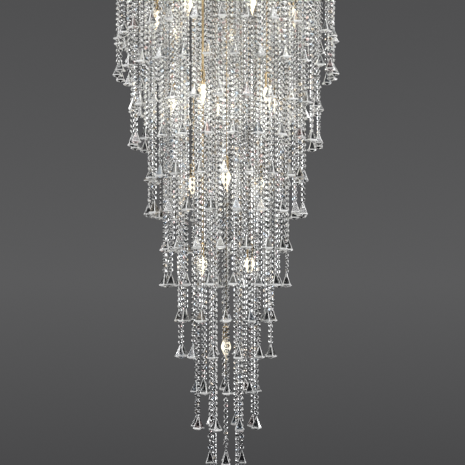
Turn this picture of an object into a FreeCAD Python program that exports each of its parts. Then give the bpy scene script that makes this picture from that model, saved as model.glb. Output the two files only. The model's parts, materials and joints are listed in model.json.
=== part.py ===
import FreeCAD, Part

import math
import os

import Sketcher

# Crystal chandelier, millimetres.  The origin is the middle of the face that
# meets the ceiling, +Z points up into the ceiling and the light hangs below.
#
# Rings of bead strands hang from a round plate, longest in the middle.  Every
# ring has long and short strands in turn, and each strand ends in a pyramid
# drop one level lower than its neighbour.  Lamps on brass rods hang in the gaps
# between the rings.  The innermost strands hang clear of all the others, so
# their last three beads are modelled one by one and swing on link pins.

SIZES = {
    "ring_pitch": 55,
    "plate_margin": 15,
    "plate_thickness": 2,
    "pan_depth": 45,
    "rim_wall": 2,
    "bracket_width": 40,
    "bracket_thickness": 3,
    "bracket_end": 18,
    "ceiling_hole_circle": 300,
    "ceiling_hole_radius": 4.5,
    "cable_place": 70,
    "cable_radius": 5,
    "grommet_wall": 2.5,
    "grommet_flange": 3,
    "grommet_fit": 0.1,
    "stud_radius": 4,
    "stud_clearance": 0.5,
    "nut_radius": 7.5,
    "nut_height": 7,
    "nut_crown_radius": 4,
    "nut_crown_height": 5,
    "block_radius": 32,
    "block_height": 14,
    "block_cap_radius": 24,
    "block_cap_height": 6,
    "first_drop_depth": 410,
    "level_step": 122.6,
    "bead_width": 15,
    "bead_thickness": 7,
    "bead_pitch": 18.5,
    "drop_width": 30,
    "drop_height": 40,
    "drop_culet": 6,
    "hang_gap": 0.3,
    "girdle_height": 3,
    "girdle_ledge": 0.8,
    "drop_top": 3,
    "pin_radius": 0.8,
    "pin_clearance": 0.1,
    "pin_inset": 2.2,
    "swing_room": 4.5,
    "ear_width": 3.6,
    "ear_thickness": 1.2,
    "ear_gap": 0.3,
    "ear_end": 1.8,
    "link_width": 2,
    "link_thickness": 1.2,
    "lamp_depth": 333,
    "lamp_step": 289,
    "lamp_radius": 17.5,
    "lamp_length": 72,
    "lamp_neck_radius": 9.5,
    "lamp_belly": 26,
    "lamp_taper_radius": 12,
    "lamp_taper": 50,
    "lamp_tip_radius": 2,
    "sleeve_radius": 11.5,
    "sleeve_length": 52,
    "rod_radius": 4,
}

RING_COUNT = 7
PAIRS_PER_RING = 4  # long and short strands gained with each ring
TAIL_BEADS = 3
BRACKET_ARMS = 4  # each with a ceiling hole and a stud
STUD_RING = 5.5  # between the fifth and sixth ring
ROD_SIDES = 8
LAMP_SIDES = 12
BLOCK_SIDES = 16
FLANGE_SIDES = 12
NUT_SIDES = 6
BEAD_SIDES = 8
# turn of each ring, in degrees, to its first long strand, innermost first
RING_TURNS = (45, 27.5, 15, 7.2, 7.9, 4.2, 4.6)
# lamp levels from the top: how many, gap between the rings, first angle
LAMP_LEVELS = ((7, 4.5, 33), (5, 3.5, 30), (3, 2.5, 30), (2, 1.5, 0), (1, 0, 0))

# sizes that follow from the ones in the sheet
PLATE_RADIUS = f"(Sizes.ring_pitch * {RING_COUNT} + Sizes.plate_margin)"
STUD_CIRCLE = f"(Sizes.ring_pitch * {STUD_RING})"
DROP_LENGTH = "(Sizes.drop_height + Sizes.drop_culet)"
LINK_LENGTH = "(Sizes.bead_pitch - Sizes.bead_width)"
FIRST_BEAD = "(Sizes.bead_width / 2 - Sizes.pin_inset)"
# from the pin to the foot of the last link
TAIL_LENGTH = f"({FIRST_BEAD} + Sizes.bead_pitch * {TAIL_BEADS} - Sizes.bead_width / 2)"
TAIL_DROP_LENGTH = f"({DROP_LENGTH} + Sizes.girdle_height)"
EAR_INSIDE = "(Sizes.bead_thickness / 2 + Sizes.ear_gap)"
SLEEVE_TOP = "(Sizes.lamp_depth - Sizes.lamp_length / 2 - Sizes.sleeve_length)"

doc = FreeCAD.newDocument("CrystalChandelier")
subparts = []


def make_sheet():
    """Write every driving dimension with its name as the cell's alias."""
    sheet = doc.addObject("Spreadsheet::Sheet", "Sizes")
    for row, (name, number) in enumerate(SIZES.items(), start=1):
        sheet.set(f"A{row}", name)
        sheet.set(f"B{row}", str(number))
        sheet.setAlias(f"B{row}", name)
    doc.recompute()
    return sheet


def value(expression):
    """The number that an expression on the sheet has now."""
    result = sheet.evalExpression(expression.replace("Sizes.", ""))
    return float(getattr(result, "Value", result))


def new_body(label, turn="0", at=("0", "0", "0")):
    """A named sub-part, turned about the vertical and set at a place."""
    body = doc.addObject("PartDesign::Body", label)
    body.Label = label
    body.AllowCompound = True
    upright = FreeCAD.Rotation(FreeCAD.Vector(0, 0, 1), 0)
    body.Placement = FreeCAD.Placement(FreeCAD.Vector(), upright)
    body.setExpression("Placement.Rotation.Angle", turn)
    for axis, expression in zip("xyz", at):
        body.setExpression(f"Placement.Base.{axis}", expression)
    subparts.append(body)
    return body


def origin_feature(body, role):
    """The body's own origin plane or axis."""
    return [each for each in body.Origin.OriginFeatures if each.Role == role][0]


def new_sketch(body, name, role="XY_Plane", height="0", turn=0):
    """A sketch on an origin plane, lifted off it and turned within it."""
    sketch = body.newObject("Sketcher::SketchObject", name)
    sketch.AttachmentSupport = [(origin_feature(body, role), "")]
    sketch.MapMode = "FlatFace"
    spin = FreeCAD.Rotation(FreeCAD.Vector(0, 0, 1), turn)
    sketch.AttachmentOffset = FreeCAD.Placement(FreeCAD.Vector(), spin)
    sketch.setExpression(".AttachmentOffset.Base.z", height)
    return sketch


def outline(sketch, points):
    """A closed polygon whose corners are held by expressions."""
    first = sketch.GeometryCount
    places = [FreeCAD.Vector(value(x), value(y), 0) for x, y in points]
    count = len(places)
    for index, place in enumerate(places):
        following = places[(index + 1) % count]
        sketch.addGeometry(Part.LineSegment(place, following), False)
    for index in range(count):
        here = first + index
        after = first + (index + 1) % count
        sketch.addConstraint(Sketcher.Constraint("Coincident", here, 2, after, 1))
    for index, (across, along) in enumerate(points):
        hold_point(sketch, first + index, 1, across, along)


def hold_point(sketch, geometry, end, across, along):
    """Fix a point by its two distances from the sketch's origin."""
    for kind, expression in (("DistanceX", across), ("DistanceY", along)):
        number = value(expression)
        held = Sketcher.Constraint(kind, -1, 1, geometry, end, number)
        index = sketch.addConstraint(held)
        sketch.setExpression(f"Constraints[{index}]", expression)


def circle(sketch, radius, across="0"):
    """A circle on the sketch's horizontal axis, its radius an expression."""
    centre = FreeCAD.Vector(value(across), 0, 0)
    upward = FreeCAD.Vector(0, 0, 1)
    geometry = sketch.addGeometry(Part.Circle(centre, upward, value(radius)), False)
    hold_point(sketch, geometry, 3, across, "0")
    index = sketch.addConstraint(Sketcher.Constraint("Radius", geometry, value(radius)))
    sketch.setExpression(f"Constraints[{index}]", radius)


def rectangle(sketch, across, along, width, height):
    """A rectangle about a middle point."""
    left = f"{across} - {width} / 2"
    right = f"{across} + {width} / 2"
    low = f"{along} - {height} / 2"
    high = f"{along} + {height} / 2"
    outline(sketch, [(left, low), (right, low), (right, high), (left, high)])


def polygon(sketch, sides, radius, across="0", along="0", first_angle=0):
    """A regular polygon about a middle point, by its corner radius."""
    points = []
    for index in range(sides):
        angle = first_angle + 360 * index / sides
        points.append(
            (f"{across} + {radius} * cos({angle})", f"{along} + {radius} * sin({angle})")
        )
    outline(sketch, points)


def pad(body, name, sketch, length, down=False, middle=False):
    """Extrude a sketch up, down or both ways."""
    feature = body.newObject("PartDesign::Pad", name)
    feature.Profile = sketch
    feature.setExpression("Length", length)
    feature.Reversed = down
    feature.Midplane = middle
    return feature


def loft(body, name, sections):
    """A ruled solid through sketches."""
    feature = body.newObject("PartDesign::AdditiveLoft", name)
    feature.Profile = sections[0]
    feature.Sections = sections[1:]
    feature.Ruled = True
    return feature


def drill(body, name, sketch, depth):
    """Cut a sketch downwards and check that it cut something."""
    doc.recompute()
    before = body.Tip.Shape.Volume
    feature = body.newObject("PartDesign::Pocket", name)
    feature.Profile = sketch
    feature.setExpression("Length", depth)
    doc.recompute()
    if not feature.Shape.Volume < before:
        raise RuntimeError(f"{name} cuts nothing from {body.Label}")
    return feature


def repeat(body, name, count, features=()):
    """Repeat features, or else the whole body so far, round its vertical axis."""
    doc.recompute()
    if count < 2:
        return
    feature = body.newObject("PartDesign::PolarPattern", name)
    if features:
        feature.Originals = list(features)
    else:
        feature.TransformMode = "Whole shape"
    feature.Axis = (origin_feature(body, "Z_Axis"), [""])
    feature.Angle = 360
    feature.Occurrences = count
    body.Tip = feature
    return feature


def put(feature, out, aside, height, turn, tilt):
    """Tilt a primitive about X, then carry it out along a turned radius."""
    swing = FreeCAD.Rotation(FreeCAD.Vector(0, 0, 1), turn)
    lean = FreeCAD.Rotation(FreeCAD.Vector(1, 0, 0), tilt)
    feature.Placement = FreeCAD.Placement(FreeCAD.Vector(), swing.multiply(lean))
    across = f"{out} * cos({turn}) - {aside} * sin({turn})"
    along = f"{out} * sin({turn}) + {aside} * cos({turn})"
    feature.setExpression("Placement.Base.x", across)
    feature.setExpression("Placement.Base.y", along)
    feature.setExpression("Placement.Base.z", height)


def pyramid(body, name, base, top, tall, out, height, turn=0, down=False):
    """A square pyramid or frustum standing on, or hanging from, a height."""
    feature = body.newObject("PartDesign::AdditiveWedge", name)
    feature.Ymin = 0
    feature.setExpression("Ymax", tall)
    for axis in "XZ":
        feature.setExpression(f"{axis}min", f"-{base} / 2")
        feature.setExpression(f"{axis}max", f"{base} / 2")
        feature.setExpression(f"{axis}2min", f"-{top} / 2")
        feature.setExpression(f"{axis}2max", f"{top} / 2")
    put(feature, out, "0", height, turn, -90 if down else 90)
    return feature


def drop_depth(level):
    """How far below the plate the drops of a level end."""
    return f"(Sizes.first_drop_depth + Sizes.level_step * {level})"


def strand_length(level):
    """A strand ends just above the drop of its level."""
    return f"({drop_depth(level)} - {DROP_LENGTH} - Sizes.hang_gap)"


def pin_depth(level):
    """Depth of the pin that an innermost strand's loose end swings on."""
    return f"({drop_depth(level)} - {TAIL_DROP_LENGTH} - {TAIL_LENGTH})"


def strand_pairs(ring):
    """Name, level and turn of a ring's long and short strands."""
    level = 2 * (RING_COUNT - ring)
    half_step = 180 / (PAIRS_PER_RING * ring)
    return (("Long", level + 1, 0), ("Short", level, half_step))


def ceiling_bracket():
    """A flat steel cross that is screwed to the ceiling."""
    body = new_body("ceiling_bracket")
    reach = f"({STUD_CIRCLE} + Sizes.bracket_end)"
    arm = new_sketch(body, "ArmOutline")
    rectangle(arm, f"{reach} / 2", "0", reach, "Sizes.bracket_width")
    pad(body, "ArmPad", arm, "Sizes.bracket_thickness", down=True)
    repeat(body, "Arms", BRACKET_ARMS)
    hole = new_sketch(body, "CeilingHole")
    circle(hole, "Sizes.ceiling_hole_radius", "Sizes.ceiling_hole_circle / 2")
    cut = drill(body, "CeilingHoleCut", hole, "Sizes.bracket_thickness")
    repeat(body, "CeilingHoles", BRACKET_ARMS, [cut])
    cable = new_sketch(body, "CableHole")
    circle(cable, "(Sizes.cable_radius + Sizes.grommet_wall)", "Sizes.cable_place")
    body.Tip = drill(body, "CableHoleCut", cable, "Sizes.bracket_thickness")


def cable_grommet():
    """A rubber sleeve with a flange, in the bracket's cable hole."""
    body = new_body("cable_grommet", at=("Sizes.cable_place", "0", "0"))
    sleeve = new_sketch(body, "GrommetSleeve")
    circle(sleeve, "Sizes.cable_radius")
    circle(sleeve, "(Sizes.cable_radius + Sizes.grommet_wall - Sizes.grommet_fit)")
    pad(body, "GrommetSleevePad", sleeve, "Sizes.bracket_thickness", down=True)
    flange = new_sketch(body, "GrommetFlange", height="-Sizes.bracket_thickness")
    circle(flange, "Sizes.cable_radius")
    edge = "(Sizes.cable_radius + Sizes.grommet_wall + Sizes.grommet_flange)"
    polygon(flange, FLANGE_SIDES, edge)
    body.Tip = pad(body, "GrommetFlangePad", flange, "Sizes.grommet_wall", down=True)


def bracket_studs():
    """Studs that hang the plate from the bracket's arms."""
    body = new_body("bracket_studs")
    section = new_sketch(body, "StudSection", height="-Sizes.bracket_thickness")
    circle(section, "Sizes.stud_radius", STUD_CIRCLE)
    length = "Sizes.pan_depth - Sizes.bracket_thickness"
    pad(body, "StudPad", section, length, down=True)
    repeat(body, "Studs", BRACKET_ARMS)


def cap_nuts():
    """Hexagon nuts with a tapered crown, under the plate."""
    body = new_body("cap_nuts")
    flats = new_sketch(body, "NutOutline", height="-Sizes.pan_depth")
    polygon(flats, NUT_SIDES, "Sizes.nut_radius", STUD_CIRCLE)
    pad(body, "NutPad", flats, "Sizes.nut_height", down=True)
    low = "-Sizes.pan_depth - Sizes.nut_height"
    shoulder = new_sketch(body, "CrownShoulder", height=low)
    polygon(shoulder, NUT_SIDES, "Sizes.nut_radius", STUD_CIRCLE)
    end = new_sketch(body, "CrownEnd", height=f"{low} - Sizes.nut_crown_height")
    polygon(end, NUT_SIDES, "Sizes.nut_crown_radius", STUD_CIRCLE)
    loft(body, "Crown", [shoulder, end])
    repeat(body, "Nuts", BRACKET_ARMS)


def ceiling_plate():
    """The polished disc that the strands and rods hang from."""
    body = new_body("ceiling_plate")
    disc = new_sketch(body, "PlateOutline", height="-Sizes.pan_depth")
    circle(disc, PLATE_RADIUS)
    pad(body, "PlatePad", disc, "Sizes.plate_thickness")
    top = "-Sizes.pan_depth + Sizes.plate_thickness"
    hole = new_sketch(body, "StudHole", height=top)
    circle(hole, "(Sizes.stud_radius + Sizes.stud_clearance)", STUD_CIRCLE)
    cut = drill(body, "StudHoleCut", hole, "Sizes.plate_thickness")
    repeat(body, "StudHoles", BRACKET_ARMS, [cut])


def plate_rim():
    """The band that closes the gap between plate and ceiling."""
    body = new_body("plate_rim")
    band = new_sketch(body, "RimSection", height="-Sizes.pan_depth + Sizes.plate_thickness")
    circle(band, PLATE_RADIUS)
    circle(band, f"({PLATE_RADIUS} - Sizes.rim_wall)")
    body.Tip = pad(body, "RimPad", band, "Sizes.pan_depth - Sizes.plate_thickness")


def terminal_block():
    """The junction block on the plate, with a smaller screw cap."""
    top = "-Sizes.pan_depth + Sizes.plate_thickness"
    body = new_body("terminal_block")
    base = new_sketch(body, "BlockOutline", height=top)
    polygon(base, BLOCK_SIDES, "Sizes.block_radius")
    pad(body, "BlockPad", base, "Sizes.block_height")
    cap = new_sketch(body, "CapOutline", height=f"{top} + Sizes.block_height")
    polygon(cap, BLOCK_SIDES, "Sizes.block_cap_radius")
    body.Tip = pad(body, "CapPad", cap, "Sizes.block_cap_height")


def lamp_level(number):
    """One level of lamps: brass rods, brass sleeves and glass lamps."""
    count, gap, turn = LAMP_LEVELS[number - 1]
    out = f"(Sizes.ring_pitch * {gap})"
    sleeve_top = f"({SLEEVE_TOP} + Sizes.lamp_step * {number - 1})"
    lamp_rods(number, count, turn, out, sleeve_top)
    lamp_holders(number, count, turn, out, sleeve_top)
    lamps(number, count, turn, out, f"({sleeve_top} + Sizes.sleeve_length)")


def lamp_rods(number, count, turn, out, sleeve_top):
    """Rods from the plate to the sleeves."""
    body = new_body(f"lamp_rods_{number}", turn=str(turn))
    section = new_sketch(body, "RodSection", height="-Sizes.pan_depth")
    polygon(section, ROD_SIDES, "Sizes.rod_radius", out)
    pad(body, "RodPad", section, sleeve_top, down=True)
    repeat(body, "Rods", count)


def lamp_holders(number, count, turn, out, sleeve_top):
    """Sleeves that hold the lamps."""
    body = new_body(f"lamp_holders_{number}", turn=str(turn))
    section = new_sketch(body, "SleeveSection", height=f"-Sizes.pan_depth - {sleeve_top}")
    polygon(section, LAMP_SIDES, "Sizes.sleeve_radius", out)
    pad(body, "SleevePad", section, "Sizes.sleeve_length", down=True)
    repeat(body, "Sleeves", count)


def lamps(number, count, turn, out, glass_top):
    """Candle-shaped glass with flat facets, pointing down."""
    rings = (
        (0, value("Sizes.lamp_neck_radius")),
        (value("Sizes.lamp_belly"), value("Sizes.lamp_radius")),
        (value("Sizes.lamp_taper"), value("Sizes.lamp_taper_radius")),
        (value("Sizes.lamp_length"), value("Sizes.lamp_tip_radius")),
    )
    axis = value(out)
    top = value(f"-Sizes.pan_depth - {glass_top}")
    glass = faceted([ring_corners(LAMP_SIDES, radius, axis, top - below) for below, radius in rings])
    upward = FreeCAD.Vector(0, 0, 1)
    copies = []
    for index in range(count):
        copy = glass.copy()
        copy.rotate(FreeCAD.Vector(), upward, 360 * index / count)
        copies.append(copy)
    feature = doc.addObject("Part::Feature", f"lamps_{number}")
    feature.Label = f"lamps_{number}"
    feature.Shape = Part.makeCompound(copies)
    feature.Placement = FreeCAD.Placement(FreeCAD.Vector(), FreeCAD.Rotation(upward, turn))
    subparts.append(feature)


def ring_corners(sides, radius, axis, height):
    """Corners of a level regular polygon whose middle is out along X."""
    corners = []
    for index in range(sides):
        angle = 2 * math.pi * index / sides
        across = axis + radius * math.cos(angle)
        corners.append(FreeCAD.Vector(across, radius * math.sin(angle), height))
    return corners


def faceted(sections):
    """A solid of flat faces between polygons that have as many corners."""
    faces = [flat_face(sections[0]), flat_face(sections[-1])]
    for upper, lower in zip(sections, sections[1:]):
        for index, corner in enumerate(upper):
            after = (index + 1) % len(upper)
            faces.append(flat_face([corner, upper[after], lower[after], lower[index]]))
    solid = Part.makeSolid(Part.makeShell(faces))
    if solid.Volume < 0:
        solid.reverse()
    return solid


def flat_face(corners):
    """A face with straight edges."""
    return Part.Face(Part.makePolygon(corners + corners[:1]))


def strands(ring):
    """A ring of long and short bead strands."""
    body = new_body(f"strands_ring_{ring}", turn=str(RING_TURNS[ring - 1]))
    out = f"(Sizes.ring_pitch * {ring})"
    for name, level, turn in strand_pairs(ring):
        section = new_sketch(body, f"{name}Section", height="-Sizes.pan_depth", turn=turn)
        rectangle(section, out, "0", "Sizes.bead_thickness", "Sizes.bead_width")
        if ring == 1:
            length = f"({pin_depth(level)} - Sizes.swing_room)"
        else:
            length = strand_length(level)
        pad(body, f"{name}Pad", section, length, down=True)
        if ring == 1:
            swing_fork(body, name, out, length, turn)
    repeat(body, "Strands", PAIRS_PER_RING * ring)


def swing_fork(body, name, out, length, turn):
    """Two ears and a cross pin at a strand's lower end."""
    low = f"-Sizes.pan_depth - {length}"
    ears = new_sketch(body, f"{name}Ears", height=low, turn=turn)
    middle = f"({EAR_INSIDE} + Sizes.ear_thickness / 2)"
    for side in (middle, f"-{middle}"):
        rectangle(ears, out, side, "Sizes.ear_width", "Sizes.ear_thickness")
    drop = "Sizes.swing_room + Sizes.ear_end"
    pad(body, f"{name}EarPad", ears, drop, down=True)
    pin = body.newObject("PartDesign::AdditiveCylinder", f"{name}Pin")
    pin.setExpression("Radius", "Sizes.pin_radius")
    pin.setExpression("Height", f"2 * {middle}")
    put(pin, out, middle, f"{low} - Sizes.swing_room", turn, 90)


def drops(ring):
    """The pyramid drops of a ring, each under its strand."""
    body = new_body(f"drops_ring_{ring}", turn=str(RING_TURNS[ring - 1]))
    out = f"(Sizes.ring_pitch * {ring})"
    for name, level, turn in strand_pairs(ring):
        girdle = f"-Sizes.pan_depth - {drop_depth(level)} + Sizes.drop_culet"
        pyramid(
            body, f"{name}Crown", "Sizes.drop_width", "0", "Sizes.drop_height", out, girdle, turn
        )
        pyramid(
            body, f"{name}Culet", "Sizes.drop_width", "0", "Sizes.drop_culet", out, girdle, turn,
            down=True,
        )
    repeat(body, "Drops", PAIRS_PER_RING * ring)


def tail_places():
    """Turn and level of each innermost strand, going round."""
    places = []
    for _, level, turn in strand_pairs(1):
        for index in range(PAIRS_PER_RING):
            angle = RING_TURNS[0] + turn + 360 * index / PAIRS_PER_RING
            places.append((angle % 360, level))
    return sorted(places)


def tail(number, turn, level):
    """A loose end: three beads, their links and a drop, hung on a pin."""
    out = "Sizes.ring_pitch"
    at = (f"{out} * cos({turn})", f"{out} * sin({turn})", f"-Sizes.pan_depth - {pin_depth(level)}")
    tail_beads(new_body(f"tail_beads_{number}", str(turn), at))
    tail_links(new_body(f"tail_links_{number}", str(turn), at))
    tail_drop(new_body(f"drop_{number}", str(turn), at))


def bead_middle(index):
    """Height of a tail bead's middle, from the pin."""
    return f"-{FIRST_BEAD} - Sizes.bead_pitch * {index}"


def tail_beads(body):
    """Octagon beads, each turned a quarter from the last."""
    reach = f"(Sizes.bead_width / 2 / cos({180 / BEAD_SIDES}))"
    bore = f"((Sizes.pin_radius + Sizes.pin_clearance) / cos({180 / BEAD_SIDES}))"
    first_corner = 180 / BEAD_SIDES
    for index in range(TAIL_BEADS):
        role = "YZ_Plane" if index % 2 else "XZ_Plane"
        face = new_sketch(body, f"Bead{index}", role)
        polygon(face, BEAD_SIDES, reach, "0", bead_middle(index), first_corner)
        if index == 0:
            polygon(face, BEAD_SIDES, bore, "0", "0", first_corner)
        body.Tip = pad(body, f"Bead{index}Pad", face, "Sizes.bead_thickness", middle=True)


def tail_links(body):
    """A short flat link under each bead."""
    for index in range(TAIL_BEADS):
        section = new_sketch(body, f"Link{index}", height=f"{bead_middle(index)} - Sizes.bead_width / 2")
        rectangle(section, "0", "0", "Sizes.link_width", "Sizes.link_thickness")
        body.Tip = pad(body, f"Link{index}Pad", section, LINK_LENGTH, down=True)


def tail_drop(body):
    """A pyramid drop with its girdle and a flat top for the link."""
    girdle = f"-{TAIL_LENGTH} - Sizes.drop_height"
    crown_base = "(Sizes.drop_width - 2 * Sizes.girdle_ledge)"
    pyramid(body, "Crown", crown_base, "Sizes.drop_top", "Sizes.drop_height", "0", girdle)
    band = new_sketch(body, "Girdle", height=girdle)
    rectangle(band, "0", "0", "Sizes.drop_width", "Sizes.drop_width")
    pad(body, "GirdlePad", band, "Sizes.girdle_height", down=True)
    body.Tip = pyramid(
        body, "Culet", crown_base, "0", "Sizes.drop_culet", "0", f"{girdle} - Sizes.girdle_height",
        down=True,
    )


def check_and_write():
    """Stop on any failed object, then write each sub-part to its file."""
    doc.recompute()
    for each in doc.Objects:
        if {"Invalid", "Error"} & set(each.State):
            raise RuntimeError(f"{each.Label} failed: {each.State}")
    for body in subparts:
        if body.Shape.isNull() or not body.Shape.isValid() or not body.Shape.Solids:
            raise RuntimeError(f"{body.Label} has no valid shape")
    os.makedirs("parts", exist_ok=True)
    for body in subparts:
        body.Shape.exportStep(f"parts/{body.Label}.step")
        print(body.Label, len(body.Shape.Solids), "solids")


sheet = make_sheet()
ceiling_bracket()
cable_grommet()
bracket_studs()
cap_nuts()
ceiling_plate()
plate_rim()
terminal_block()
for lamp_number in range(1, len(LAMP_LEVELS) + 1):
    lamp_level(lamp_number)
for ring_number in range(1, RING_COUNT + 1):
    strands(ring_number)
for ring_number in range(2, RING_COUNT + 1):
    drops(ring_number)
for tail_number, (tail_turn, tail_level) in enumerate(tail_places(), start=1):
    tail(tail_number, tail_turn, tail_level)
check_and_write()
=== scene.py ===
import json
import math

import bpy
import numpy as np
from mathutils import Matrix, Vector


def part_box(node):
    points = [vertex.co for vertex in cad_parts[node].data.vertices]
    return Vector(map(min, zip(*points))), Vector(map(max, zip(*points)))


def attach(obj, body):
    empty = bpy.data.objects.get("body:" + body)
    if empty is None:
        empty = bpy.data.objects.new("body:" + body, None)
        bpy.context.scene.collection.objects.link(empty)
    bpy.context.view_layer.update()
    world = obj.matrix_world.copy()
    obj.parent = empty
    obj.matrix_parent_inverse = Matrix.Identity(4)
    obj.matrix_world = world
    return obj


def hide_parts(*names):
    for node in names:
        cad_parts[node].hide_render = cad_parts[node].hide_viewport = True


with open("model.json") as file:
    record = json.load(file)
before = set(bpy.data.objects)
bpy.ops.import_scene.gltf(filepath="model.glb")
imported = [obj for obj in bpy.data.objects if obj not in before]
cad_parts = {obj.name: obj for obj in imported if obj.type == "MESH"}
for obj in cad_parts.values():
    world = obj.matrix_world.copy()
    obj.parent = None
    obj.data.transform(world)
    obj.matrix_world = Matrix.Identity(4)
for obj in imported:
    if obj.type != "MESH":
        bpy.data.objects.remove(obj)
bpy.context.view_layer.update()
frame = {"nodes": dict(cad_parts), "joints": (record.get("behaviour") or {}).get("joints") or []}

# ---------------------------------------------------------------- driving sizes, in metres

MM = 0.001

# the rings of strands, from the innermost out, and the turn of each one's first strand, in degrees
RING_COUNT = 7
PAIRS_PER_RING = 4
RING_TURNS = (45, 27.5, 15, 7.2, 7.9, 4.2, 4.6)
RING_PITCH = 55 * MM
FIRST_DROP_DEPTH = 410 * MM
LEVEL_STEP = 122.6 * MM
STRAND_LEAN = 3 * MM

BEAD_WIDTH = 15 * MM
BEAD_THICKNESS = 7 * MM
BEAD_PITCH = 18.5 * MM
BEAD_SIDES = 8
BEAD_TABLE = 0.60
BEAD_GAP = BEAD_PITCH - BEAD_WIDTH
HOLE_INSET = 2.2 * MM
YAW_WANDER = 0.05
PHASE_WANDER = 0.2

# the loose ends of the innermost strands, which swing on a pin under the last fixed bead
TAIL_BEADS = 3
PIN_TO_TAIL_DROP = TAIL_BEADS * BEAD_PITCH - HOLE_INSET
LAST_BEAD_TO_PIN = BEAD_PITCH - BEAD_WIDTH / 2 + HOLE_INSET

# a drop's widths and heights, and how much its corners are cut at each
DROP_WIDTH = 30 * MM
DROP_HEIGHT = 40 * MM
DROP_CULET = 6 * MM
DROP_GIRDLE = 3 * MM
DROP_EDGE = 1.8 * MM
DROP_TOP_WIDTH = 3 * MM
DROP_TOP_EDGE = 0.9 * MM
CULET_WIDTH = 4.8 * MM
CULET_EDGE = 1.5 * MM
PAVILION_WIDTH = 21 * MM
PAVILION_HEIGHT = 2.7 * MM
PAVILION_EDGE = 3.6 * MM
CROWN_WIDTH = 27 * MM
CROWN_STEP = 0.8 * MM
NECK_WIDTH = 4.5 * MM
NECK_HEIGHT = 3 * MM
NECK_EDGE = 1.2 * MM
DROP_SIDES = 8
DROP_BANDS = 6
UNDER_GIRDLE = 1
GIRDLE_BANDS = (2, 3)

LINK_WIRE = 0.55 * MM
LINK_WIDTH = 3.6 * MM
LINK_HEIGHT = BEAD_GAP + 2 * HOLE_INSET
# how many points a link has along its loop and round its wire
LINK_POINTS = (6, 3)
LOOSE_LINK_POINTS = (8, 4)
STEM_SIDES = 6
EYE_SIDES = 8
EYE_RADIUS = 2.6 * MM
EYE_HEIGHT = 3 * MM
EYE_SHOULDER = 1.8 * MM

# for each level of lamps, from the top: how many, how many ring pitches out, and the first one's turn
LAMP_LEVELS = ((7, 4.5, 33), (5, 3.5, 30), (3, 2.5, 30), (2, 1.5, 0), (1, 0, 0))
LAMP_RADIUS = 17.5 * MM
LAMP_LENGTH = 72 * MM
LAMP_NECK = 9.5 * MM
LAMP_TIP = 0.9 * MM
LAMP_RINGS = 19
LAMP_SIDES = 24
LAMP_BELLY = 0.36
LAMP_SWELL = 0.9
LAMP_TAPER = 1.25
LAMP_BEND = 7 * MM
LAMP_BEND_START = 0.4
LAMP_TURN = 0.7
ROD_SIDES = 16
ROD_RADIUS = 4 * MM
COLLAR_RADIUS = 7.6 * MM
COLLAR_HEIGHT = 7 * MM
COLLAR_EDGE = 1 * MM
FLANGE_RADIUS = 12.16 * MM
FLANGE_HEIGHT = 0.8 * MM
SLEEVE_SIDES = 32
SLEEVE_RADIUS = 11.5 * MM
SLEEVE_WALL = SLEEVE_RADIUS - 0.6 * MM
RIM_HEIGHT = 2.6 * MM
RIM_ROLL = 0.8 * MM
BAND_DEPTH = 9 * MM
BAND_HEIGHT = 3.5 * MM
BAND_EDGE = 1 * MM
SHOULDER_RADIUS = SLEEVE_WALL * 0.8
SHOULDER_HEIGHT = 2.5 * MM
SHOULDER_TOP_RADIUS = ROD_RADIUS * 1.4
SHOULDER_TOP_HEIGHT = 0.4 * MM

# faint tints of the crystal: clear, and warm, blue and rose ones that are painted flashes of dispersed light;
# and how much of it has each
CRYSTAL_AND_DISPERSION_TINTS = ((0.66, 0.67, 0.68), (0.71, 0.64, 0.55), (0.57, 0.64, 0.73), (0.71, 0.58, 0.58))
CRYSTAL_SHARES = (0.82, 0.08, 0.06, 0.04)
CRYSTAL_IOR = 1.56

# the painted highlights and painted shade of the small facets: a bead's mean brightness, their swing round
# it, and a girdle facet's darkest
BEAD_GLINT = 0.6
BEAD_GLINT_SWING = 0.75
GIRDLE_LEAST_GLINT = 0.35

# a lamp's glow, palest at a share of its length down, and the light that it throws on the crystal
GLOW_DEPTH = 0.4
GLOW_SPREAD = 0.3
GLOW_ENDS = (0.86, 0.70, 0.46)
GLOW_MIDDLE = (1.0, 0.95, 0.76)
LAMP_LIGHT = (1.0, 0.975, 0.88)
LAMP_POWERS = (0.9, 1.1, 0.72, 0.40, 0.23)
LIGHT_RADIUS = 170 * MM

# the photograph's frame: its size in pixels, the size of one, and where the axis and the plate lie
PHOTO_PIXELS = 465
PIXEL = 3.5 * MM
AXIS_COLUMN = 226
PLATE_ROW = -75
EYE_LEVEL = -1.375
CAMERA_DISTANCE = 4.0
SENSOR = 36.0

FLOOR_LEVEL = -4.4
FLOOR_RADIUS = 8.0
FLOOR_SIDES = 96
PANEL_DISTANCE = 3.2
PANEL_AIM = (0, 0, -1.0)
SIDE_TURNS = (-45, -135, 55, 125)
SIDE_HEIGHT = -0.7
SIDE_SIZE = (0.9, 2.6)
SIDE_POWER = 41
TOP_TURNS = (-90, 0, 90, 180)
TOP_HEIGHT = 2.1
TOP_SIZE = (2.4, 1.0)
TOP_POWER = 52
PLAIN_LIGHT = 0.25
WALL_LIT = (0.105, 0.105, 0.107)
WALL_UPPER = (0.080, 0.080, 0.082)
WALL_LOWER = (0.062, 0.062, 0.064)
STUDIO_DARK = (0.006, 0.006, 0.007)
CEILING_PALE = (0.55, 0.55, 0.56)

# heights in the surroundings, 0 straight down and 1 straight up: where the wall's light starts, is
# best and ends, how far down and up the wall reaches in glass, and where the pale ceiling starts
LIT_FOOT = 0.42
LIT_MIDDLE = 0.51
LIT_HEAD = 0.63
WALL_FOOT = 0.34
WALL_HEAD = 0.70
CEILING_FOOT = 0.86

RANDOM_SEED = 31

plate_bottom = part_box("ceiling_plate")[0].z
lucky = np.random.default_rng(RANDOM_SEED)


# ---------------------------------------------------------------- meshes


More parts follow.
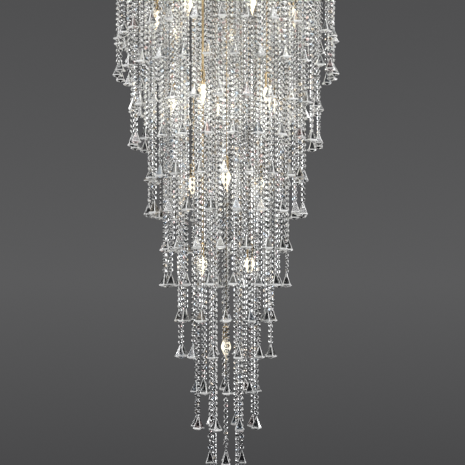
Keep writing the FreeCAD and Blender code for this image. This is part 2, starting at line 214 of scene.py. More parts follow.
def fill_mesh(name, points, faces):
    """A mesh from points and faces; the faces are one array for each number of corners."""
    mesh = bpy.data.meshes.new(name)
    corners = np.concatenate([np.asarray(group).ravel() for group in faces])
    sizes = np.concatenate([np.full(len(group), np.shape(group)[1]) for group in faces])
    mesh.vertices.add(len(points))
    mesh.vertices.foreach_set("co", np.asarray(points, dtype=np.float32).ravel())
    mesh.loops.add(len(corners))
    mesh.loops.foreach_set("vertex_index", corners.astype(np.int32))
    mesh.polygons.add(len(sizes))
    mesh.polygons.foreach_set("loop_start", (np.cumsum(sizes) - sizes).astype(np.int32))
    mesh.update(calc_edges=True)
    return mesh


def stack(rings, cut=False):
    """A closed shape through a stack of level rings with equal counts of points, the lowest first and
    each anticlockwise from above. Neighbouring rings are joined by quads, or by two triangles for each
    quad where the rings are turned against each other, and the first and last rings are filled."""
    rings = np.asarray(rings, dtype=float)
    numbers = np.arange(rings.shape[0] * rings.shape[1]).reshape(rings.shape[:2])
    here = numbers[:-1]
    there = numbers[1:]
    here_next = np.roll(here, -1, axis=1)
    there_next = np.roll(there, -1, axis=1)
    if cut:
        lower = np.stack([here, here_next, there], axis=-1).reshape(-1, 3)
        upper = np.stack([here_next, there_next, there], axis=-1).reshape(-1, 3)
        walls = np.concatenate([lower, upper])
    else:
        walls = np.stack([here, here_next, there_next, there], axis=-1).reshape(-1, 4)
    ends = np.stack([numbers[0][::-1], numbers[-1]])
    return rings.reshape(-1, 3), [walls, ends]


def ring_of(sides, radius, height, turn=0.0):
    """A level regular polygon: radius times the cosine and sine of equal angles from the turn."""
    angles = turn + np.arange(sides) * 2 * np.pi / sides
    return np.stack([radius * np.cos(angles), radius * np.sin(angles), np.full(sides, height)], axis=-1)


def square_ring(width, corner_cut, height):
    """A level square whose four corners are cut off; its eight points run anticlockwise."""
    half = width / 2
    inner = half - corner_cut
    x = np.array([half, half, inner, -inner, -half, -half, -inner, inner])
    y = np.array([-inner, inner, half, half, inner, -inner, -half, -half])
    return np.stack([x, y, np.full_like(x, height)], axis=-1)


def turned(profile, sides):
    """A lathe shape: each radius and height of the profile, lowest first, gives one level ring."""
    return stack([ring_of(sides, radius, height) for radius, height in profile])


def wire_loop(width, height, wire, around, about):
    """A closed wire loop in the YZ plane: the centre line is an oval, half the width times the cosine
    and half the height times the sine, and a small polygon of the wire's radius is carried round it."""
    path = np.arange(around)[:, None] * 2 * np.pi / around
    section = np.arange(about)[None, :] * 2 * np.pi / about
    out = wire * np.cos(section)
    y = (width / 2 + out) * np.cos(path)
    z = (height / 2 + out) * np.sin(path)
    x = np.broadcast_to(wire * np.sin(section), y.shape)
    numbers = np.arange(around * about).reshape(around, about)
    ahead = np.roll(numbers, -1, axis=0)
    faces = [numbers, ahead, np.roll(ahead, -1, axis=1), np.roll(numbers, -1, axis=1)]
    return np.stack([x, y, z], axis=-1).reshape(-1, 3), [np.stack(faces, axis=-1).reshape(-1, 4)]


def spread(shape, places, yaws):
    """Copies of one shape: each copy is turned about the vertical by its yaw and moved to its place."""
    points, faces = shape
    cos = np.cos(yaws)[:, None]
    sin = np.sin(yaws)[:, None]
    x = cos * points[:, 0] - sin * points[:, 1] + places[:, 0:1]
    y = sin * points[:, 0] + cos * points[:, 1] + places[:, 1:2]
    z = points[:, 2] + places[:, 2:3]
    first = (np.arange(len(places)) * len(points))[:, None, None]
    copies = [(np.asarray(group)[None] + first).reshape(-1, np.shape(group)[1]) for group in faces]
    return np.stack([x, y, z], axis=-1).reshape(-1, 3), copies


def joined(*shapes):
    """Several shapes as one, with each one's point numbers moved past the last one's."""
    start = 0
    points = []
    faces = []
    for some_points, some_faces in shapes:
        points.append(some_points)
        faces.extend(np.asarray(group) + start for group in some_faces)
        start += len(some_points)
    return np.concatenate(points), faces


def gathered(rows):
    """Rows of copies as one row: all their places and all their yaws."""
    places = np.concatenate([np.reshape(row_places, (-1, 3)) for row_places, _ in rows])
    yaws = np.concatenate([np.ravel(row_yaws) for _, row_yaws in rows])
    return places, yaws


def add_piece(
    name, shape, material, body="root", replaces=(), smooth=False, tints=None, facets=None, glints=None
):
    """Put a shape into the scene as a piece of the object. Tints are a colour for each point, facets
    are a second material and, for each face, whether it has it, and glints are each face's brightness, a
    painted highlight or painted shade."""
    mesh = fill_mesh(name, *shape)
    mesh.polygons.foreach_set("use_smooth", np.full(len(mesh.polygons), smooth))
    mesh.materials.append(material)
    if tints is not None:
        layer = mesh.color_attributes.new("tint", "FLOAT_COLOR", "POINT")
        colours = np.concatenate([tints, np.ones((len(tints), 1))], axis=1)
        layer.data.foreach_set("color", colours.astype(np.float32).ravel())
    if glints is not None:
        mesh.attributes.new("glint", "FLOAT", "FACE").data.foreach_set("value", glints.astype(np.float32))
    if facets is not None:
        second, has_second = facets
        mesh.materials.append(second)
        mesh.polygons.foreach_set("material_index", has_second.astype(np.int32))
    piece = bpy.data.objects.new(name, mesh)
    bpy.context.scene.collection.objects.link(piece)
    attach(piece, body)
    if replaces:
        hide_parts(*replaces)
    return piece


# ---------------------------------------------------------------- shader maths


class Reading:
    """A number or colour on its way through a material. It wraps a socket, and the plus and times
    signs add Math nodes for numbers."""

    def __init__(self, finish, socket):
        self.finish = finish
        self.socket = socket

    def __add__(self, other):
        return self.finish.add("Math", {"operation": "ADD"}, {0: self, 1: other})

    def __mul__(self, other):
        return self.finish.add("Math", {"operation": "MULTIPLY"}, {0: self, 1: other})

    __radd__ = __add__
    __rmul__ = __mul__


class Finish:
    """A node tree under construction, for a material or for the surroundings."""

    def __init__(self, owner):
        owner.use_nodes = True
        self.owner = owner
        self.tree = owner.node_tree
        self.tree.nodes.clear()

    def add(self, kind, settings=None, inputs=None, output=0):
        """Add a node, its settings first and then its inputs' values or links, and give one output."""
        node = self.tree.nodes.new("ShaderNode" + kind)
        for key, value in (settings or {}).items():
            if key == "stops":
                for place, colour in value[1:-1]:
                    node.color_ramp.elements.new(place).color = (*colour, 1)
                for end in (0, -1):
                    node.color_ramp.elements[end].position = value[end][0]
                    node.color_ramp.elements[end].color = (*value[end][1], 1)
            else:
                setattr(node, key, value)
        for key, value in (inputs or {}).items():
            if isinstance(value, Reading):
                self.tree.links.new(value.socket, node.inputs[key])
            else:
                node.inputs[key].default_value = value
        return Reading(self, node.outputs[output]) if node.outputs else node

    def noise(self, scale, detail=3.0, stretch=(1, 1, 1)):
        """Noise on the piece's own coordinates, from 0 to 1; a stretch over 1 packs it closer."""
        place = self.add("TexCoord", output="Object")
        packed = self.add("Mapping", None, {"Vector": place, "Scale": stretch})
        return self.add("TexNoise", None, {"Vector": packed, "Scale": scale, "Detail": detail})

    def shade(self, low, high, amount):
        """A colour between two others, each a colour or a reading."""
        first, second = (end if isinstance(end, Reading) else (*end, 1) for end in (low, high))
        return self.add("Mix", {"data_type": "RGBA"}, {"Factor": amount, 6: first, 7: second}, output=2)

    def ramp(self, amount, *stops):
        """A colour read off a row of stops, each a place from 0 to 1 and a colour."""
        return self.add("ValToRGB", {"stops": stops}, {0: amount})

    def surface(self, **inputs):
        """Finish a material with a Principled shader; underscores in the names stand for spaces."""
        values = {name.replace("_", " "): value for name, value in inputs.items()}
        shader = self.add("BsdfPrincipled", None, values)
        self.add("OutputMaterial", None, {"Surface": shader})
        return self.owner


def new_finish(name):
    """An empty node tree in a new material."""
    return Finish(bpy.data.materials.new(name))


# ---------------------------------------------------------------- finishes


def cut_crystal():
    """Clear lead crystal: each bead has its own faint tint, clear or a painted flash of dispersed light, and
    the polish varies a little.
    """
    finish = new_finish("cut_crystal")
    return finish.surface(
        Base_Color=finish.add("Attribute", {"attribute_name": "tint"}),
        Roughness=finish.noise(40.0) * 0.03,
        IOR=CRYSTAL_IOR,
        Transmission_Weight=1.0,
    )


def sparkling_crystal():
    """The small slanting facets round a bead's table: the same glass, nearly opaque, whose colour holds
    painted highlights and painted shade, so that each facet looks pale or dark as a whole beside the clear
    table."""
    finish = new_finish("sparkling_crystal")
    glint = finish.add("Attribute", {"attribute_name": "glint"}, output="Fac")
    return finish.surface(
        # each facet's painted highlight or painted shade, read from its glint
        Base_Color=finish.shade((0.03, 0.032, 0.035), (1.0, 1.0, 1.0), glint),
        Roughness=finish.noise(300.0) * 0.05,
        IOR=CRYSTAL_IOR,
        Transmission_Weight=0.05,
    )


def painted_highlight_crystal():
    """The narrow facets along a drop's edges, round its girdle and two under it: the same glass, finely matt,
    with painted highlights in its colour, so that they look white or, on the girdle, more or less bright.
    """
    finish = new_finish("painted_highlight_crystal")
    glint = finish.add("Attribute", {"attribute_name": "glint"}, output="Fac")
    return finish.surface(
        # each face's painted highlight, from painted shade at a glint of 0 to white at 1
        Base_Color=finish.shade((0.10, 0.105, 0.11), (1.0, 1.0, 1.0), glint),
        Roughness=finish.noise(300.0) * 0.2 + 0.2,
        IOR=CRYSTAL_IOR,
    )


def bright_chrome():
    """Polished chrome with faint handling marks."""
    finish = new_finish("bright_chrome")
    marks = finish.noise(60.0)
    return finish.surface(
        Base_Color=finish.shade((0.72, 0.72, 0.74), (0.86, 0.86, 0.88), marks),
        Metallic=1.0,
        Roughness=marks * 0.12 + 0.04,
    )


def polished_brass():
    """Warm polished brass that is a little darker where it has tarnished."""
    finish = new_finish("polished_brass")
    polish = finish.noise(25.0)
    return finish.surface(
        Base_Color=finish.shade((0.46, 0.34, 0.19), (0.76, 0.63, 0.42), polish),
        Metallic=1.0,
        Roughness=polish * 0.2 + 0.12,
    )


def mirror_steel():
    """Mirror-polished steel plate with faint polishing marks."""
    finish = new_finish("mirror_steel")
    marks = finish.noise(18.0, 6.0)
    return finish.surface(
        Base_Color=finish.shade((0.70, 0.70, 0.71), (0.80, 0.80, 0.81), marks),
        Metallic=1.0,
        Roughness=marks * 0.1 + 0.05,
    )


def zinc_steel():
    """Dull zinc-plated steel, brushed along its length."""
    finish = new_finish("zinc_steel")
    brush = finish.noise(30.0, 5.0, (1, 12, 12))
    return finish.surface(
        Base_Color=finish.shade((0.45, 0.46, 0.48), (0.62, 0.63, 0.65), brush),
        Metallic=1.0,
        Roughness=brush * 0.2 + 0.28,
        Normal=finish.add("Bump", None, {"Height": brush, "Strength": 0.15, "Distance": 0.0002}),
    )


def moulded_plastic():
    """Matt ivory plastic with a fine moulded grain."""
    finish = new_finish("moulded_plastic")
    grain = finish.noise(900.0)
    return finish.surface(
        Base_Color=finish.shade((0.74, 0.72, 0.66), (0.82, 0.80, 0.75), finish.noise(12.0)),
        Roughness=grain * 0.15 + 0.4,
        Normal=finish.add("Bump", None, {"Height": grain, "Strength": 0.2, "Distance": 0.0001}),
    )


def soft_rubber():
    """Black rubber with a dusty bloom."""
    finish = new_finish("soft_rubber")
    bloom = finish.noise(120.0)
    return finish.surface(
        Base_Color=finish.shade((0.02, 0.02, 0.02), (0.06, 0.06, 0.06), bloom),
        Roughness=bloom * 0.2 + 0.6,
    )


def lit_glass():
    """The warm white glass of a lit candle lamp, whose glow is read from its tint."""
    finish = new_finish("lit_glass")
    return finish.surface(
        Base_Color=(1.0, 0.93, 0.78, 1.0),
        Roughness=0.15,
        Emission_Color=finish.add("Attribute", {"attribute_name": "tint"}),
        Emission_Strength=0.95,
    )


# ---------------------------------------------------------------- beads


def octagon_bead():
    """A flat octagon bead, cut on both faces. Three octagons lie one behind the other: a table, the
    thin girdle and the other table. Each is turned half a side against the last, so triangles join
    them. The stack is then laid on its side, so that the tables face along Y."""
    half_side = np.pi / BEAD_SIDES
    corner = BEAD_WIDTH / 2 / math.cos(half_side)
    table = corner * BEAD_TABLE
    points, faces = stack(
        [
            ring_of(BEAD_SIDES, table, -BEAD_THICKNESS / 2),
            ring_of(BEAD_SIDES, corner, 0, half_side),
            ring_of(BEAD_SIDES, table, BEAD_THICKNESS / 2, 2 * half_side),
        ],
        cut=True,
    )
    x, y, z = points.T
    return np.stack([x, -z, y], axis=-1), faces


def bead_sparkles(copies):
    """Which faces of some beads get the painted highlights and shade: of the slanting facets, which come
    before the two tables, the triangles that have a side on the girdle."""
    on_girdle = np.repeat([False, True, True, False], BEAD_SIDES)
    return np.concatenate([np.tile(on_girdle, copies), np.zeros(2 * copies, dtype=bool)])


def bead_glints(phases):
    """Painted highlight and shade for each face of some beads: two opposite crescents of the slanting
    facets are painted bright and the facets between them dark, as the cosine of twice the facet's angle
    round the bead from the bead's phase. The angles are of the facets' middles, in the order of their four
    rows."""
    side = 2 * np.pi / BEAD_SIDES
    first = side * np.array([0.5, 1.0, 1.0, 1.5])
    angles = first[:, None] + side * np.arange(BEAD_SIDES)
    swing = np.cos(2 * (angles[None] - np.ravel(phases)[:, None, None]))
    bright = np.clip(BEAD_GLINT + BEAD_GLINT_SWING * swing, 0, 1)
    return np.concatenate([bright.ravel(), np.ones(2 * np.size(phases))])


def crystal_and_dispersion_tints(copies, points_each):
    """One faint tint for each copy, clear or a painted flash of dispersed light, picked by the tints'
    shares and the same at all its points.
    """
    picks = lucky.choice(len(CRYSTAL_AND_DISPERSION_TINTS), size=copies, p=CRYSTAL_SHARES)
    return np.repeat(np.array(CRYSTAL_AND_DISPERSION_TINTS)[picks], points_each, axis=0)


# ---------------------------------------------------------------- drops


def pyramid_drop(top):
    """A square pyramid drop from height 0 to its top. From below: the small culet face, the shallow
    pavilion, the girdle band, and the four tall faces. Its corners are ground to narrow facets, which
    narrow further up the tall faces."""
    girdle_top = DROP_CULET + DROP_GIRDLE
    levels = (
        (CULET_WIDTH, CULET_EDGE, 0),
        (PAVILION_WIDTH, PAVILION_EDGE, PAVILION_HEIGHT),
        (DROP_WIDTH, DROP_EDGE, DROP_CULET),
        (DROP_WIDTH, DROP_EDGE, girdle_top),
        (CROWN_WIDTH, DROP_EDGE, girdle_top + CROWN_STEP),
        (NECK_WIDTH, NECK_EDGE, top - NECK_HEIGHT),
        (DROP_TOP_WIDTH, DROP_TOP_EDGE, top),
    )
    return stack([square_ring(*level) for level in levels])


def drop_highlight_faces(copies):
    """Which faces of some drops get the painted highlights: the cut corners on all bands, the girdle and
    the step above it, and two opposite facets right under it."""
    band, side = np.divmod(np.arange(DROP_BANDS * DROP_SIDES), DROP_SIDES)
    on_corner = side % 2 == 1
    under_girdle = (band == UNDER_GIRDLE) & (side % 4 == 0)
    walls = on_corner | np.isin(band, GIRDLE_BANDS) | under_girdle
    return np.concatenate([np.tile(walls, copies), np.zeros(2 * copies, dtype=bool)])


def drop_glints(copies):
    """How bright each face's painted highlight is on some drops: the edges fully, and each girdle facet
    by a random amount, so that no two drops glint alike."""
    band = np.arange(DROP_BANDS * DROP_SIDES) // DROP_SIDES
    least = np.where(np.isin(band, GIRDLE_BANDS), GIRDLE_LEAST_GLINT, 1.0)
    bright = least + (1 - least) * lucky.random((copies, DROP_BANDS * DROP_SIDES))
    return np.concatenate([bright.ravel(), np.ones(2 * copies)])


# ---------------------------------------------------------------- strands


def bead_depths(last_depth):
    """Depths of a strand's bead middles under the plate: from the last bead up, a pitch apart, as many
    as leave room for a link and the eyelet under the plate."""
    room = BEAD_WIDTH / 2 + BEAD_GAP + EYE_HEIGHT
    count = int((last_depth - room) / BEAD_PITCH) + 1
    return last_depth - BEAD_PITCH * np.arange(count)


def hanging_at(depths, foot, radius, angles, lean_out, lean_aside):
    """Places on some strands at some depths, a row for each strand. Each strand hangs from the ring's
    circle, and its leans outwards and aside grow in proportion to the depth, to the full at its foot."""
    share = depths[None, :] / foot
    out = radius + lean_out[:, None] * share
    aside = lean_aside[:, None] * share
    cos = np.cos(angles)[:, None]
    sin = np.sin(angles)[:, None]
    height = np.broadcast_to(plate_bottom - depths, out.shape)
    return np.stack([out * cos - aside * sin, out * sin + aside * cos, height], axis=-1)


def strand_row(ring, level, turns):
    """Everything that one kind of strand of a ring needs: the middles and yaws of its beads, the phases
    that turn their painted highlights, and the drops' places and yaws. A drop that is turned is drawn
    inwards, so that its corner keeps within the ring. The innermost strands end at their pins and don't lean."""
    count = len(turns)
    angles = np.radians(turns)
    foot = FIRST_DROP_DEPTH + LEVEL_STEP * level
    drop_top = foot - DROP_CULET - DROP_HEIGHT
    if ring == 1:
        last_bead = drop_top - DROP_GIRDLE - PIN_TO_TAIL_DROP - LAST_BEAD_TO_PIN
        drop_yaws = np.zeros(count)
        lean_aside = np.zeros(count)
    else:
        last_bead = drop_top - BEAD_GAP - BEAD_WIDTH / 2
        drop_yaws = lucky.uniform(-np.pi / 4, np.pi / 4, count)
        lean_aside = lucky.uniform(-STRAND_LEAN, STRAND_LEAN, count)
    corner_out = np.abs(np.cos(drop_yaws)) + np.abs(np.sin(drop_yaws)) - 1
    lean_out = -DROP_WIDTH / 2 * corner_out
    lie = (foot, RING_PITCH * ring, angles, lean_out, lean_aside)
    beads = hanging_at(bead_depths(last_bead), *lie)
    drops = hanging_at(np.array([foot]), *lie)[:, 0]
    facing = lucky.uniform(0, np.pi, count)[:, None]
    yaws = angles[:, None] + facing + lucky.normal(0, YAW_WANDER, beads.shape[:2])
    phases = lucky.uniform(0, np.pi, count)[:, None] + lucky.normal(0, PHASE_WANDER, beads.shape[:2])
    return beads, yaws, phases, drops, angles + drop_yaws


def make_ring(ring, crystal, sparkling, highlight_crystal, chrome):
    """One ring of strands, long and short by turns: its beads, its wire links, its hooks, each a stem
    under an eyelet on the plate, and its drops."""
    bead = octagon_bead()
    drop = pyramid_drop(DROP_CULET + DROP_HEIGHT)
    link = wire_loop(LINK_WIDTH, LINK_HEIGHT, LINK_WIRE, *LINK_POINTS)
    eye = turned(((LINK_WIRE, -EYE_HEIGHT), (EYE_RADIUS, -EYE_SHOULDER), (EYE_RADIUS, 0)), EYE_SIDES)
    to_link = (0, 0, BEAD_PITCH / 2)
    per_ring = PAIRS_PER_RING * ring
    bead_rows = []
    bead_phases = []
    link_rows = []
    hooks = []
    drop_rows = []
    for kind in range(2):
        level = 2 * (RING_COUNT - ring) + 1 - kind
        turns = RING_TURNS[ring - 1] + kind * 180 / per_ring + np.arange(per_ring) * 360 / per_ring
        beads, yaws, phases, drops, drop_yaws = strand_row(ring, level, turns)
        highest = beads[:, -1] + to_link
        top_yaws = yaws[:, -1]
        bead_rows.append((beads, yaws))
        bead_phases.append(phases.ravel())
        link_rows.append((beads - to_link, yaws))
        link_rows.append((highest, top_yaws))
        stem_length = plate_bottom - highest[0, 2] - BEAD_GAP / 2
        stem = turned(((LINK_WIRE, -stem_length), (LINK_WIRE, 0)), STEM_SIDES)
        on_plate = highest * (1, 1, 0) + (0, 0, plate_bottom)
        hooks.append(spread(stem, on_plate, top_yaws))
        hooks.append(spread(eye, on_plate, top_yaws))
        drop_rows.append((drops, drop_yaws))
    bead_count = sum(len(phases) for phases in bead_phases)
    add_piece(
        f"bead_strands_ring_{ring}", spread(bead, *gathered(bead_rows)), crystal,
        replaces=[f"strands_ring_{ring}"], tints=crystal_and_dispersion_tints(bead_count, len(bead[0])),
        facets=(sparkling, bead_sparkles(bead_count)), glints=bead_glints(np.concatenate(bead_phases)),
    )
    add_piece(
        f"wire_links_ring_{ring}", spread(link, *gathered(link_rows)), chrome, smooth=True
    )
    add_piece(f"hooks_ring_{ring}", joined(*hooks), chrome, smooth=True)
    if ring > 1:
        drop_count = 2 * per_ring
        add_piece(
            f"pyramid_drops_ring_{ring}", spread(drop, *gathered(drop_rows)), crystal,
            replaces=[f"drops_ring_{ring}"], tints=crystal_and_dispersion_tints(drop_count, len(drop[0])),
            facets=(highlight_crystal, drop_highlight_faces(drop_count)), glints=drop_glints(drop_count),
        )


def make_loose_end(number, pin, turn, crystal, sparkling, highlight_crystal, chrome):
    """The loose end of an innermost strand: three beads, a quarter turn between neighbours, their
    links and the drop, all on the body that swings on the pin."""
    body = f"tail_{number}"
    bead = octagon_bead()
    link = wire_loop(LINK_WIDTH, LINK_HEIGHT, LINK_WIRE, *LOOSE_LINK_POINTS)
    drop_low, drop_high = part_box(f"drop_{number}")
    drop = pyramid_drop(drop_high.z - drop_low.z)
    steps = np.arange(TAIL_BEADS)
    middles = HOLE_INSET - BEAD_WIDTH / 2 - BEAD_PITCH * steps
    places = np.array(pin) + np.stack([0 * middles, 0 * middles, middles], axis=-1)
    yaws = turn + steps * np.pi / 2
    add_piece(
        f"loose_beads_{number}", spread(bead, places, yaws), crystal, body,
        [f"tail_beads_{number}"], tints=crystal_and_dispersion_tints(TAIL_BEADS, len(bead[0])),
        facets=(sparkling, bead_sparkles(TAIL_BEADS)),
        glints=bead_glints(lucky.uniform(0, np.pi, TAIL_BEADS)),
    )
    below = places - (0, 0, BEAD_PITCH / 2)
    add_piece(
        f"loose_links_{number}", spread(link, below, yaws), chrome, body,
        [f"tail_links_{number}"], smooth=True,
    )
    foot = np.array([(pin[0], pin[1], drop_low.z)])
    add_piece(
        f"loose_drop_{number}", spread(drop, foot, np.array([turn])), crystal, body,
        [f"drop_{number}"], tints=crystal_and_dispersion_tints(1, len(drop[0])),
        facets=(highlight_crystal, drop_highlight_faces(1)), glints=drop_glints(1),
    )


# ---------------------------------------------------------------- lamps


def candle_glass():
    """A candle lamp that hangs point down, its neck at height 0. Down to the belly its radius swells
    from the neck's with a power of the sine of the depth. From there it draws in to the thin tip with
    a power of the depth that is left. Past the start of the bend, the rings slide sideways with the
    cube of the depth."""
    share = np.linspace(0, 1, LAMP_RINGS)[::-1]
    swell = np.sin(np.pi * np.clip(share / (2 * LAMP_BELLY), 0, 1)) ** LAMP_SWELL
    body = LAMP_NECK + (LAMP_RADIUS - LAMP_NECK) * swell
    fade = np.clip((share - LAMP_BELLY) / (1 - LAMP_BELLY), 0, 1)
    flame = LAMP_RADIUS * (1 - fade) ** LAMP_TAPER + LAMP_TIP * fade
    radius = np.where(share < LAMP_BELLY, body, np.minimum(body.max(), flame))
    points, faces = turned(zip(radius, -LAMP_LENGTH * share), LAMP_SIDES)
    depth = -points[:, 2] / LAMP_LENGTH
    points[:, 0] += LAMP_BEND * (np.clip(depth - LAMP_BEND_START, 0, 1) / (1 - LAMP_BEND_START)) ** 3
    return points, faces


def lamp_glow(points, copies):
    """Warm white, a little deeper at the neck and the tip than over the belly: a bell curve of the
    depth mixes the two colours."""
    depth = np.clip(-points[:, 2] / LAMP_LENGTH, 0, 1)
    belly = np.exp(-((depth - GLOW_DEPTH) / GLOW_SPREAD) ** 2)[:, None]
    ends = np.array(GLOW_ENDS)
    return np.tile(ends + (np.array(GLOW_MIDDLE) - ends) * belly, (copies, 1))


def lamp_light(name, place, power):
    """The light that one lamp throws on the crystals round it."""
    data = bpy.data.lights.new(name, "POINT")
    data.energy = power
    data.color = LAMP_LIGHT
    data.shadow_soft_size = LIGHT_RADIUS
    light = bpy.data.objects.new(name, data)
    bpy.context.scene.collection.objects.link(light)
    light.location = place
    light.visible_camera = False


def brass_sleeve(length):
    """A lamp's sleeve, from its rolled lower rim at height 0, past a raised band, to the shoulder that
    closes on the rod."""
    band_foot = length - BAND_DEPTH
    rim = (
        (SLEEVE_WALL - RIM_ROLL, 0), (SLEEVE_RADIUS, RIM_ROLL / 2),
        (SLEEVE_RADIUS, RIM_HEIGHT - RIM_ROLL), (SLEEVE_WALL, RIM_HEIGHT),
    )
    band = (
        (SLEEVE_WALL, band_foot), (SLEEVE_RADIUS, band_foot + BAND_EDGE),
        (SLEEVE_RADIUS, band_foot + BAND_HEIGHT - BAND_EDGE), (SLEEVE_WALL, band_foot + BAND_HEIGHT),
    )
    shoulder = (
        (SHOULDER_RADIUS, length - SHOULDER_HEIGHT), (SHOULDER_TOP_RADIUS, length - SHOULDER_TOP_HEIGHT),
        (ROD_RADIUS, length),
    )
    return turned(rim + band + shoulder, SLEEVE_SIDES)


def brass_rod(length):
    """A lamp's rod, which hangs from height 0 by a collar with a thin flange."""
    outline = (
        (ROD_RADIUS, -length), (ROD_RADIUS, -COLLAR_HEIGHT), (COLLAR_RADIUS, COLLAR_EDGE - COLLAR_HEIGHT),
        (COLLAR_RADIUS, -COLLAR_EDGE), (FLANGE_RADIUS, -FLANGE_HEIGHT), (FLANGE_RADIUS, 0),
    )
    return turned(outline, ROD_SIDES)


def make_lamps(number, glass, brass):
    """One level of lamps with their sleeves and rods."""
    count, pitches_out, first_turn = LAMP_LEVELS[number - 1]
    sleeve_low, sleeve_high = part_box(f"lamp_holders_{number}")
    glass_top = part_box(f"lamps_{number}")[1].z
    turns = np.radians(first_turn + np.arange(count) * 360 / count)
    out = RING_PITCH * pitches_out
    level = np.stack([out * np.cos(turns), out * np.sin(turns), np.zeros(count)], axis=-1)
    bulb = candle_glass()
    lamps = add_piece(
        f"candle_lamps_{number}", spread(bulb, level + (0, 0, glass_top), turns + LAMP_TURN), glass,
        replaces=[f"lamps_{number}"], smooth=True, tints=lamp_glow(bulb[0], count),
    )
    lamps.visible_shadow = False
    for x, y, _ in level:
        middle = (x, y, glass_top - LAMP_LENGTH * GLOW_DEPTH)
        lamp_light(f"lamp_light_{number}", middle, LAMP_POWERS[number - 1])
    add_piece(
        f"brass_sleeves_{number}",
        spread(brass_sleeve(sleeve_high.z - sleeve_low.z), level + (0, 0, sleeve_low.z), turns),
        brass, replaces=[f"lamp_holders_{number}"], smooth=True,
    )
    add_piece(
        f"brass_rods_{number}",
        spread(brass_rod(plate_bottom - sleeve_high.z), level + (0, 0, plate_bottom), turns),
        brass, replaces=[f"lamp_rods_{number}"], smooth=True,
    )


# ---------------------------------------------------------------- camera, light and surroundings


def make_camera():
    """The photograph's view: from the front, at the height where the rings look flat, and aimed at
    the photograph's middle row."""
    data = bpy.data.cameras.new("camera")
    data.sensor_width = SENSOR
    data.lens = SENSOR * CAMERA_DISTANCE / (PHOTO_PIXELS * PIXEL)
    camera = bpy.data.objects.new("camera", data)
    bpy.context.scene.collection.objects.link(camera)
    aside = (PHOTO_PIXELS / 2 - AXIS_COLUMN) * PIXEL
    middle = plate_bottom - (PHOTO_PIXELS / 2 - PLATE_ROW) * PIXEL
    camera.location = (aside, -CAMERA_DISTANCE, EYE_LEVEL)
    aim = Vector((aside, 0, middle)) - camera.location
    camera.rotation_euler = aim.to_track_quat("-Z", "Y").to_euler()
    bpy.context.scene.camera = camera


def softbox(name, turn, height, size, power, through_glass):
    """A soft rectangular light on a circle round the object, aimed at the middle of the strands. The
    camera doesn't see it, and it shows through glass only if it is asked to."""
    data = bpy.data.lights.new(name, "AREA")
    data.shape = "RECTANGLE"
    data.size, data.size_y = size
    data.energy = power
    light = bpy.data.objects.new(name, data)
    bpy.context.scene.collection.objects.link(light)
    angle = math.radians(turn)
    light.location = (PANEL_DISTANCE * math.cos(angle), PANEL_DISTANCE * math.sin(angle), height)
    aim = Vector(PANEL_AIM) - light.location
    light.rotation_euler = aim.to_track_quat("-Z", "Y").to_euler()
    light.visible_camera = False
    light.visible_transmission = through_glass


def make_surroundings():
    """The camera sees a grey backdrop, lit best at the middle of the strands. Metal and glass see the
    same grey near the horizon. Above it metal sees a pale ceiling, and glass a dark studio above and
    below. Everything else gets plain light from all round."""
    world = bpy.data.worlds.new("surroundings")
    bpy.context.scene.world = world
    finish = Finish(world)
    to_camera = finish.add("LightPath", output="Is Camera Ray")
    to_metal = finish.add("LightPath", output="Is Glossy Ray")
    to_glass = finish.add("LightPath", output="Is Transmission Ray")
    seen = finish.add("Math", {"operation": "MINIMUM"}, {0: to_camera + to_metal + to_glass, 1: 1.0})
    direction = finish.add("TexCoord", output="Generated")
    height = finish.add("SeparateXYZ", None, {0: direction}, output=2) * 0.5 + 0.5
    wall = finish.ramp(
        height, (0.0, WALL_LOWER), (LIT_FOOT, WALL_LOWER), (LIT_MIDDLE, WALL_LIT),
        (LIT_HEAD, WALL_UPPER), (1.0, WALL_UPPER),
    )
    studio = finish.ramp(
        height, (0.0, STUDIO_DARK), (WALL_FOOT, STUDIO_DARK), (LIT_FOOT, WALL_LOWER),
        (LIT_MIDDLE, WALL_LIT), (LIT_HEAD, WALL_UPPER), (WALL_HEAD, STUDIO_DARK), (1.0, STUDIO_DARK),
    )
    ceiling = finish.ramp(
        height, (0.0, WALL_LOWER), (LIT_FOOT, WALL_LOWER), (LIT_MIDDLE, WALL_LIT),
        (WALL_HEAD, WALL_UPPER), (CEILING_FOOT, CEILING_PALE), (1.0, CEILING_PALE),
    )
    reflected = finish.shade(ceiling, studio, to_glass)
    colour = finish.shade(reflected, wall, to_camera)
    plain = finish.add("Background", None, {"Color": (1, 1, 1, 1), "Strength": PLAIN_LIGHT})
    backdrop = finish.add("Background", None, {"Color": colour, "Strength": 1.0})
    mixed = finish.add("MixShader", None, {0: seen, 1: plain, 2: backdrop})
    finish.add("OutputWorld", None, {"Surface": mixed})


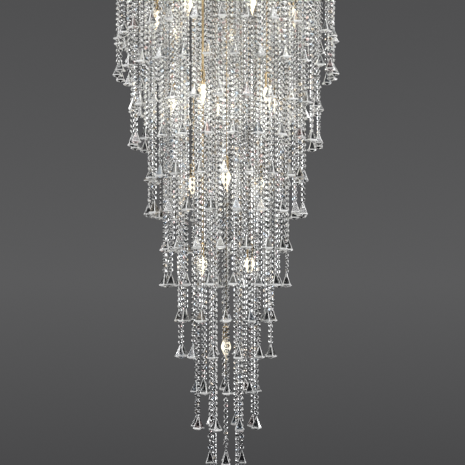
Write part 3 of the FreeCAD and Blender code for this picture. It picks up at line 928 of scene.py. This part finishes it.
def make_floor():
    """A plain pale floor disc, well below the lowest drop. Metal and glass see the surroundings
    through it."""
    finish = new_finish("pale_floor")
    pale = finish.shade((0.60, 0.59, 0.58), (0.66, 0.65, 0.64), finish.noise(2.0))
    diffuse = finish.add("BsdfDiffuse", None, {"Color": pale})
    finish.add("OutputMaterial", None, {"Surface": diffuse})
    mesh = fill_mesh("floor", ring_of(FLOOR_SIDES, FLOOR_RADIUS, FLOOR_LEVEL), [np.arange(FLOOR_SIDES)[None]])
    mesh.materials.append(finish.owner)
    floor = bpy.data.objects.new("floor", mesh)
    bpy.context.scene.collection.objects.link(floor)
    floor.visible_transmission = False
    floor.visible_glossy = False


# ---------------------------------------------------------------- the object in its scene

make_camera()
make_surroundings()
make_floor()
for number, turn in enumerate(SIDE_TURNS, start=1):
    behind = turn > 0
    softbox(f"side_panel_{number}", turn, SIDE_HEIGHT, SIDE_SIZE, SIDE_POWER, behind)
for number, turn in enumerate(TOP_TURNS, start=1):
    softbox(f"top_panel_{number}", turn, TOP_HEIGHT, TOP_SIZE, TOP_POWER, False)

crystal = cut_crystal()
sparkling = sparkling_crystal()
highlight_crystal = painted_highlight_crystal()
chrome = bright_chrome()
brass = polished_brass()
glass = lit_glass()

for ring in range(1, RING_COUNT + 1):
    make_ring(ring, crystal, sparkling, highlight_crystal, chrome)
for joint in frame["joints"]:
    pin = joint["pos_m"]
    number = int(joint["child"].split("_")[1])
    make_loose_end(number, pin, math.atan2(pin[1], pin[0]), crystal, sparkling, highlight_crystal, chrome)
for number in range(1, len(LAMP_LEVELS) + 1):
    make_lamps(number, glass, brass)

node_finishes = {
    mirror_steel(): ("ceiling_plate", "plate_rim"),
    zinc_steel(): ("ceiling_bracket", "bracket_studs"),
    chrome: ("cap_nuts",),
    moulded_plastic(): ("terminal_block",),
    soft_rubber(): ("cable_grommet",),
}
for material, names in node_finishes.items():
    for name in names:
        frame["nodes"][name].data.materials.clear()
        frame["nodes"][name].data.materials.append(material)

bpy.context.scene.view_settings.view_transform = "Standard"
